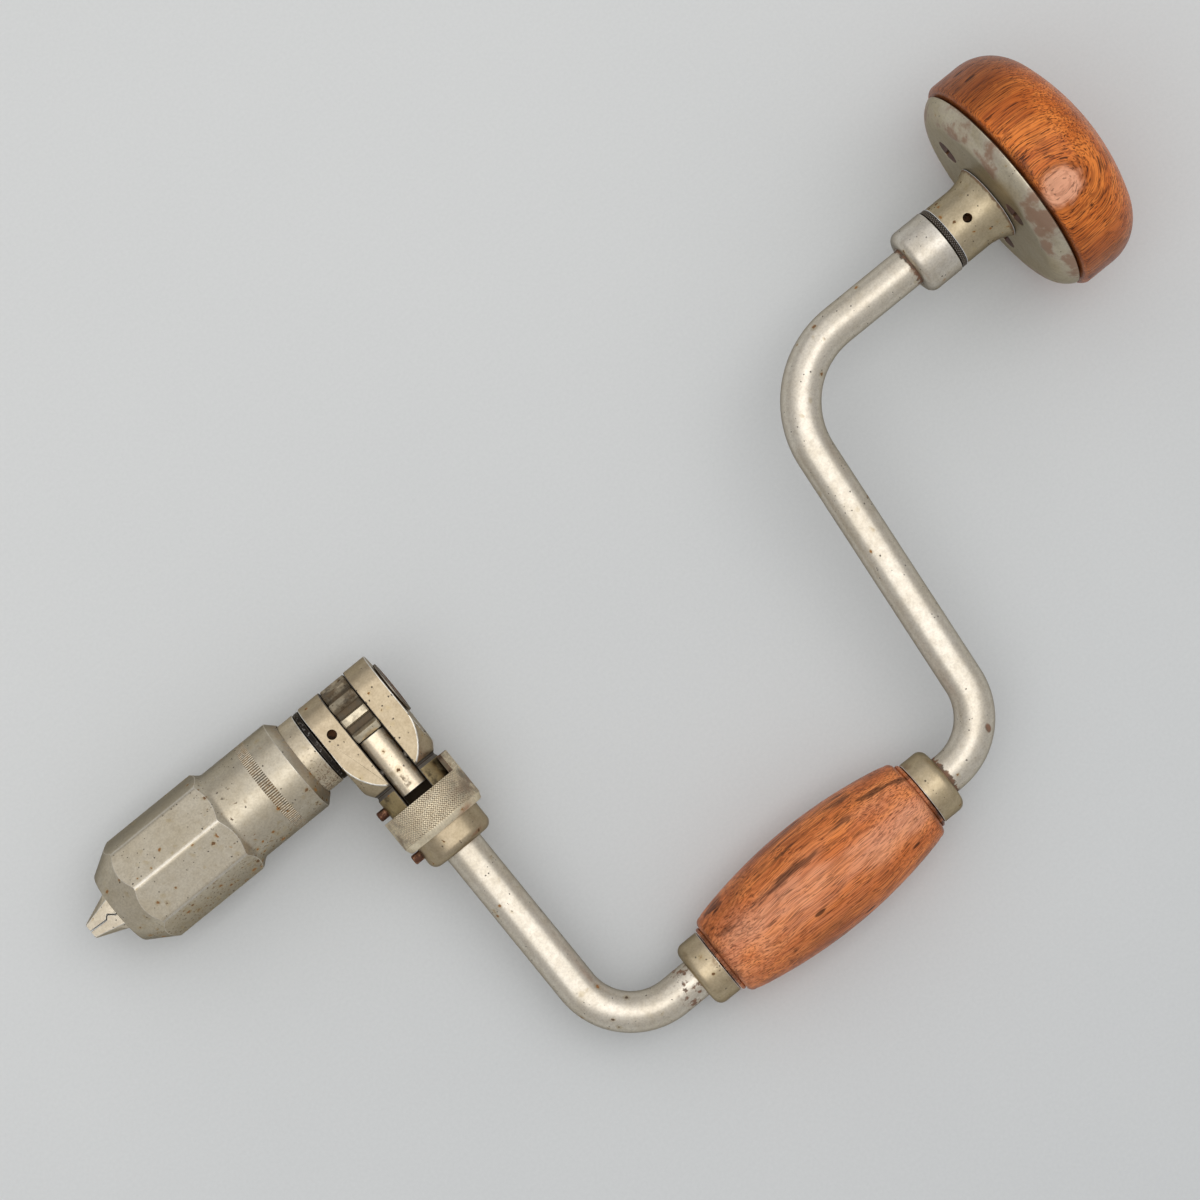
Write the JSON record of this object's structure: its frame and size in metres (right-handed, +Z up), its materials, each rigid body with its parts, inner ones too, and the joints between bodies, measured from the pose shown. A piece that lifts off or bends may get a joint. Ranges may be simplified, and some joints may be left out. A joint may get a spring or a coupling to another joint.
{
  "type": "ratchet brace",
  "caption": "Carpenter's ratchet brace: bent-rod crank with a wooden grip and head, a ratchet box with a selector ring and an octagonal screw chuck with jaws.",
  "frame": {"origin": "centre of the brace's outline on the table it lies on", "axes": "+X along the spindle from the jaws to the head, +Y away from the grip, +Z up; the spindle rises by about three degrees towards the head"},
  "size_m": [0.389, 0.183, 0.0768],
  "materials": {
    "nickel_plate": "worn nickel plate on steel",
    "dark_steel": "dark, oily steel",
    "copper_pin": "rust-tinted pin ends",
    "bright_steel": "bright steel",
    "varnished_wood": "old orange-brown varnish"
  },
  "bodies": {
    "frame": {"crank_frame": "nickel_plate", "ratchet_box": "nickel_plate", "grip_collar_ratchet_side": "nickel_plate", "grip_collar_head_side": "nickel_plate", "head_collar": "nickel_plate", "head_washer": "bright_steel", "head_nut": "dark_steel", "selector_pin_upper": "copper_pin", "selector_pin_lower": "copper_pin", "pawl_pin_upper": "bright_steel", "pawl_pin_lower": "bright_steel", "pawl_spring": "bright_steel"},
    "grip": {"handle_grip": "varnished_wood"},
    "head": {"head_neck": "nickel_plate", "head_plate": "nickel_plate", "head_knob": "varnished_wood", "head_screw_1": "dark_steel", "head_screw_2": "dark_steel", "head_screw_3": "dark_steel", "head_dust_ring": "dark_steel"},
    "head_balls": {"head_ball_01": "bright_steel", "head_ball_02": "bright_steel", "head_ball_03": "bright_steel", "head_ball_04": "bright_steel", "head_ball_05": "bright_steel", "head_ball_06": "bright_steel", "head_ball_07": "bright_steel", "head_ball_08": "bright_steel", "head_ball_09": "bright_steel", "head_ball_10": "bright_steel"},
    "selector": {"selector_ring": "nickel_plate"},
    "upper_pawl": {"pawl_upper": "nickel_plate"},
    "lower_pawl": {"pawl_lower": "nickel_plate"},
    "spindle": {"chuck_spindle": "nickel_plate", "ratchet_wheel": "nickel_plate", "ratchet_wheel_pin": "bright_steel", "spindle_thrust_washer": "dark_steel", "spindle_end_ring": "dark_steel", "jaw_spring": "bright_steel"},
    "closing_ring": {"jaw_closing_ring": "bright_steel"},
    "shell": {"chuck_shell": "nickel_plate"},
    "far_jaw": {"jaw_far_side": "nickel_plate"},
    "near_jaw": {"jaw_grip_side": "nickel_plate"}
  },
  "joints": [
    {"name": "grip_spin", "type": "hinge", "parent": "frame", "child": "grip", "pos_m": [-0.01262, -0.07332, 0.01885], "axis": [0.9984, 0, 0.0565], "continuous": true},
    {"name": "head_spin", "type": "hinge", "parent": "frame", "child": "head", "pos_m": [0.15699, 0.05335, 0.03766], "axis": [0.9984, 0, 0.0565], "continuous": true},
    {"name": "head_ball_orbit", "type": "hinge", "parent": "frame", "child": "head_balls", "pos_m": [0.13882, 0.05335, 0.03663], "axis": [0.9984, 0, 0.0565], "continuous": true},
    {"name": "selector_turn", "type": "hinge", "parent": "frame", "child": "selector", "pos_m": [-0.09106, 0.01625, 0.02093], "axis": [0.0041, -0.9974, -0.0724], "range_deg": [-90, 90]},
    {"name": "upper_pawl_lift", "type": "hinge", "parent": "frame", "child": "upper_pawl", "pos_m": [-0.09156, 0.03435, 0.02975], "axis": [0.9984, 0, 0.0565], "range_deg": [0, 10], "stiffness_Nm_per_rad": 0.02, "springref_deg": -5.73, "deforming": ["pawl_spring"]},
    {"name": "lower_pawl_lift", "type": "hinge", "parent": "frame", "child": "lower_pawl", "pos_m": [-0.09072, 0.03544, 0.01481], "axis": [-0.9984, 0, -0.0565], "range_deg": [0, 10], "stiffness_Nm_per_rad": 0.02, "springref_deg": -5.73, "deforming": ["pawl_spring"]},
    {"name": "chuck_spin", "type": "hinge", "parent": "frame", "child": "spindle", "pos_m": [-0.09122, 0.05335, 0.02362], "axis": [0.9984, 0, 0.0565], "continuous": true},
    {"name": "closing_ring_slide", "type": "slide", "parent": "spindle", "child": "closing_ring", "axis": [-0.9984, 0, -0.0565], "range_m": [0, 0.009]},
    {"name": "shell_turn", "type": "hinge", "parent": "closing_ring", "child": "shell", "pos_m": [-0.15811, 0.05335, 0.01983], "axis": [-0.9984, 0, -0.0565], "range_deg": [0, 1080]},
    {"name": "far_jaw_open", "type": "hinge", "parent": "spindle", "child": "far_jaw", "pos_m": [-0.14615, 0.05834, 0.02087], "axis": [0.0563, 0.0725, -0.9958], "range_deg": [0, 3.4], "deforming": ["jaw_spring"]},
    {"name": "near_jaw_open", "type": "hinge", "parent": "spindle", "child": "near_jaw", "pos_m": [-0.14611, 0.04836, 0.02015], "axis": [-0.0563, -0.0725, 0.9958], "range_deg": [0, 3.4], "deforming": ["jaw_spring"]}
  ],
  "couplings": [
    {"joint": "head_ball_orbit", "follows": "head_spin", "ratio": 0.5},
    {"joint": "closing_ring_slide", "follows": "shell_turn", "m_per_rad": 0.00047746},
    {"joint": "far_jaw_open", "follows": "shell_turn", "ratio": 0.0031513},
    {"joint": "near_jaw_open", "follows": "shell_turn", "ratio": 0.0031513}
  ]
}
